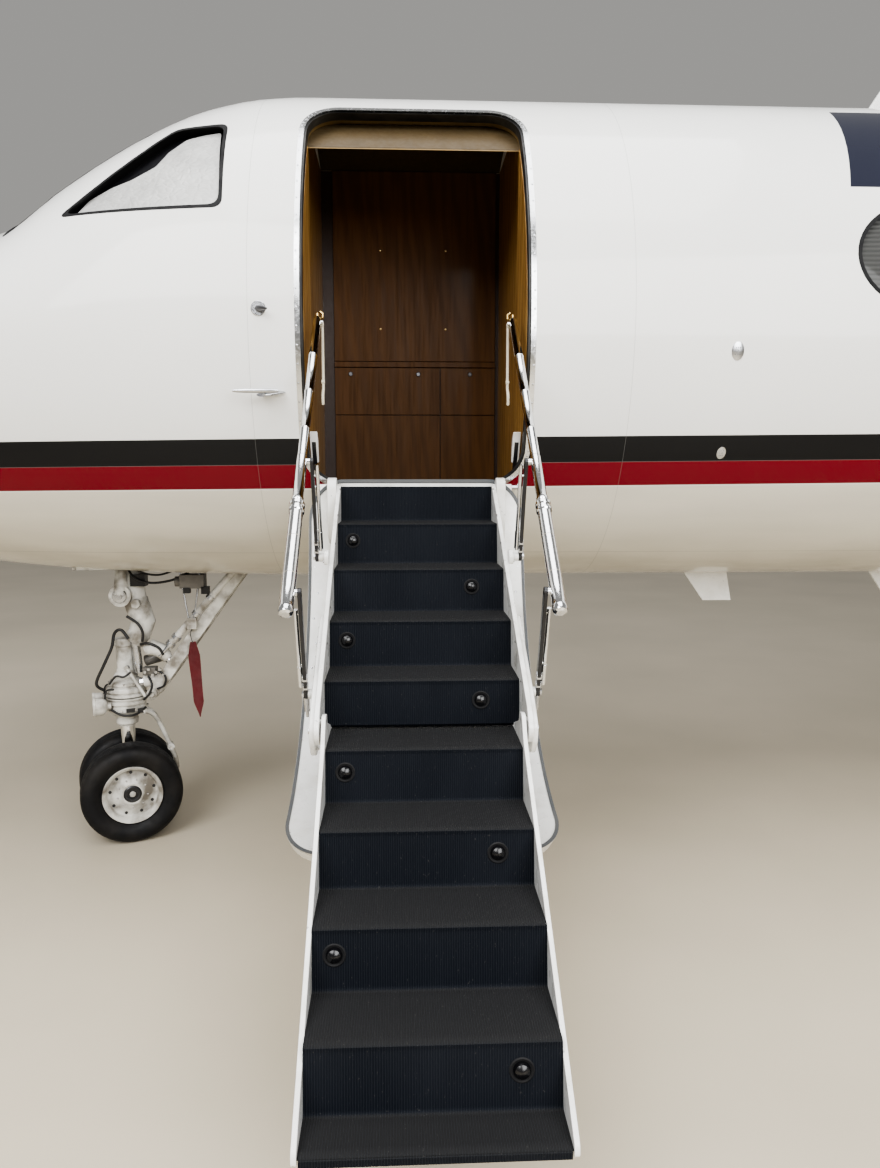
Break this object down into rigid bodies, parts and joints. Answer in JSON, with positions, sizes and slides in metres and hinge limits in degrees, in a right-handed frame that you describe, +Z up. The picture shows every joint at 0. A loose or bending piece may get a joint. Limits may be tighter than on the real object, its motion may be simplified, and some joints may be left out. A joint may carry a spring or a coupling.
{
  "type": "business jet",
  "caption": "Large-cabin twin-engine business jet parked on its gear with its folding airstair open.",
  "frame": {"origin": "on the ground under the middle of the aircraft's box", "axes": "+X aft along the fuselage, +Y to starboard, +Z up"},
  "size_m": [26.92, 23.7448, 7.45],
  "materials": {
    "white_paint": "gloss",
    "white_composite": "gloss",
    "bright_metal": "polished",
    "gear_metal": "satin, grimy",
    "black_rubber": "ribbed matt",
    "tyre": "matt",
    "foil": "crinkled shade behind glass",
    "shade": "pleated shade behind glass",
    "wood": "varnished veneer",
    "engine_metal": "matt"
  },
  "bodies": {
    "airframe": {"cockpit_section": "white_paint", "entry_section": "white_paint", "cabin_section": "white_paint", "tail_section": "white_paint", "antenna_crown": "white_paint", "antenna_belly_fore": "white_paint", "antenna_belly_aft": "white_paint", "wing_body_fairing": "white_paint", "wing_port": "white_paint", "wing_starboard": "white_paint", "flap_port": "white_paint", "flap_starboard": "white_paint", "pylon_port": "white_paint", "pylon_starboard": "white_paint", "fin": "white_paint", "nose_radome": "white_composite", "nacelle_port": "white_composite", "nacelle_starboard": "white_composite", "tailplane": "white_composite", "door_surround": "bright_metal", "nose_leg": "gear_metal", "nose_brace": "gear_metal", "main_leg_port": "gear_metal", "main_leg_starboard": "gear_metal", "vestibule_floor": "black_rubber", "cockpit_glazing_port": "foil", "cockpit_glazing_starboard": "foil", "cabin_windows_port": "shade", "cabin_windows_starboard": "shade", "vestibule_lining": "wood", "engine_port": "engine_metal", "engine_starboard": "engine_metal"},
    "nose_steering": {"nose_steering": "gear_metal"},
    "nose_wheels": {"nose_wheels": "gear_metal", "nose_tyre_port": "tyre", "nose_tyre_starboard": "tyre"},
    "main_wheels_port": {"main_wheels_port": "gear_metal", "main_tyre_port_a": "tyre", "main_tyre_port_b": "tyre"},
    "main_wheels_starboard": {"main_wheels_starboard": "gear_metal", "main_tyre_starboard_a": "tyre", "main_tyre_starboard_b": "tyre"},
    "fan_port": {"fan_port": "bright_metal"},
    "fan_starboard": {"fan_starboard": "bright_metal"},
    "rudder": {"rudder": "white_composite"},
    "elevator_port": {"elevator_port": "white_composite"},
    "elevator_starboard": {"elevator_starboard": "white_composite"},
    "aileron_port": {"aileron_port": "white_paint"},
    "aileron_starboard": {"aileron_starboard": "white_paint"},
    "door": {"door_panel": "white_paint", "upper_stair": "black_rubber"},
    "lower_stair": {"lower_stair": "black_rubber"},
    "upper_arms": {"upper_arm_fore": "gear_metal", "upper_arm_aft": "gear_metal"},
    "lower_arms": {"lower_arm_fore": "gear_metal", "lower_arm_aft": "gear_metal"},
    "rails": {"rail_fore": "bright_metal", "rail_aft": "bright_metal"},
    "rail_rods": {"rail_rod_fore": "bright_metal", "rail_rod_aft": "bright_metal"}
  },
  "joints": [
    {"name": "nose_steer", "type": "hinge", "parent": "airframe", "child": "nose_steering", "pos_m": [-10.8, 0, 0.7], "axis": [0, 0, 1], "range_deg": [-100, 60]},
    {"name": "nose_wheel_turn", "type": "hinge", "parent": "nose_steering", "child": "nose_wheels", "pos_m": [-10.8, 0, 0.267], "axis": [-0.342, 0.9397, 0], "continuous": true},
    {"name": "main_wheel_turn_port", "type": "hinge", "parent": "airframe", "child": "main_wheels_port", "pos_m": [0.86, -2.085, 0.432], "axis": [0, 1, 0], "continuous": true},
    {"name": "fan_turn_port", "type": "hinge", "parent": "airframe", "child": "fan_port", "pos_m": [3.85, -2.15, 3.08], "axis": [1, 0, 0], "continuous": true},
    {"name": "main_wheel_turn_starboard", "type": "hinge", "parent": "airframe", "child": "main_wheels_starboard", "pos_m": [0.86, 2.085, 0.432], "axis": [0, 1, 0], "continuous": true},
    {"name": "fan_turn_starboard", "type": "hinge", "parent": "airframe", "child": "fan_starboard", "pos_m": [3.85, 2.15, 3.08], "axis": [1, 0, 0], "continuous": true},
    {"name": "rudder_turn", "type": "hinge", "parent": "airframe", "child": "rudder", "pos_m": [9.27313, 0, 3.98], "axis": [0.4008, 0, 0.9162], "range_deg": [-22, 22]},
    {"name": "elevator_turn_port", "type": "hinge", "parent": "airframe", "child": "elevator_port", "pos_m": [10.81639, -0.33, 7.29], "axis": [-0.4502, 0.8929, 0], "range_deg": [-20, 20]},
    {"name": "aileron_turn_port", "type": "hinge", "parent": "airframe", "child": "aileron_port", "pos_m": [3.29843, -7.9, 2.03802], "axis": [-0.3213, 0.9457, -0.0496], "range_deg": [-20, 20]},
    {"name": "elevator_turn_starboard", "type": "hinge", "parent": "airframe", "child": "elevator_starboard", "pos_m": [10.81639, 0.33, 7.29], "axis": [0.4502, 0.8929, 0], "range_deg": [-20, 20]},
    {"name": "aileron_turn_starboard", "type": "hinge", "parent": "airframe", "child": "aileron_starboard", "pos_m": [3.29843, 7.9, 2.03802], "axis": [0.3213, 0.9457, 0.0496], "range_deg": [-20, 20]},
    {"name": "airstair", "type": "hinge", "parent": "airframe", "child": "door", "pos_m": [-9.2, -1.005, 1.94], "axis": [-1, 0, 0], "range_deg": [0, 144]},
    {"name": "stair_fold", "type": "hinge", "parent": "door", "child": "lower_stair", "pos_m": [-9.2, -2.228, 1.243], "axis": [-1, 0, 0], "range_deg": [0, 181]},
    {"name": "upper_arm_turn", "type": "hinge", "parent": "door", "child": "upper_arms", "pos_m": [-9.2, -1.6, 1.69], "axis": [1, 0, 0], "range_deg": [0, 54]},
    {"name": "lower_arm_turn", "type": "hinge", "parent": "door", "child": "lower_arms", "pos_m": [-9.2, -2.056, 1.288], "axis": [1, 0, 0], "range_deg": [0, 54]},
    {"name": "rail_turn", "type": "hinge", "parent": "upper_arms", "child": "rails", "pos_m": [-9.2, -1.734, 2.04], "axis": [-1, 0, 0], "range_deg": [0, 54]},
    {"name": "rod_slide", "type": "slide", "parent": "rails", "child": "rail_rods", "axis": [0, -0.7522, -0.6589], "range_m": [0, 0.36]}
  ],
  "couplings": [
    {"joint": "stair_fold", "follows": "airstair", "ratio": 1.2569},
    {"joint": "upper_arm_turn", "follows": "airstair", "ratio": 0.375},
    {"joint": "lower_arm_turn", "follows": "airstair", "ratio": 0.375},
    {"joint": "rail_turn", "follows": "airstair", "ratio": 0.375},
    {"joint": "rod_slide", "follows": "airstair", "m_per_rad": 0.14324}
  ]
}
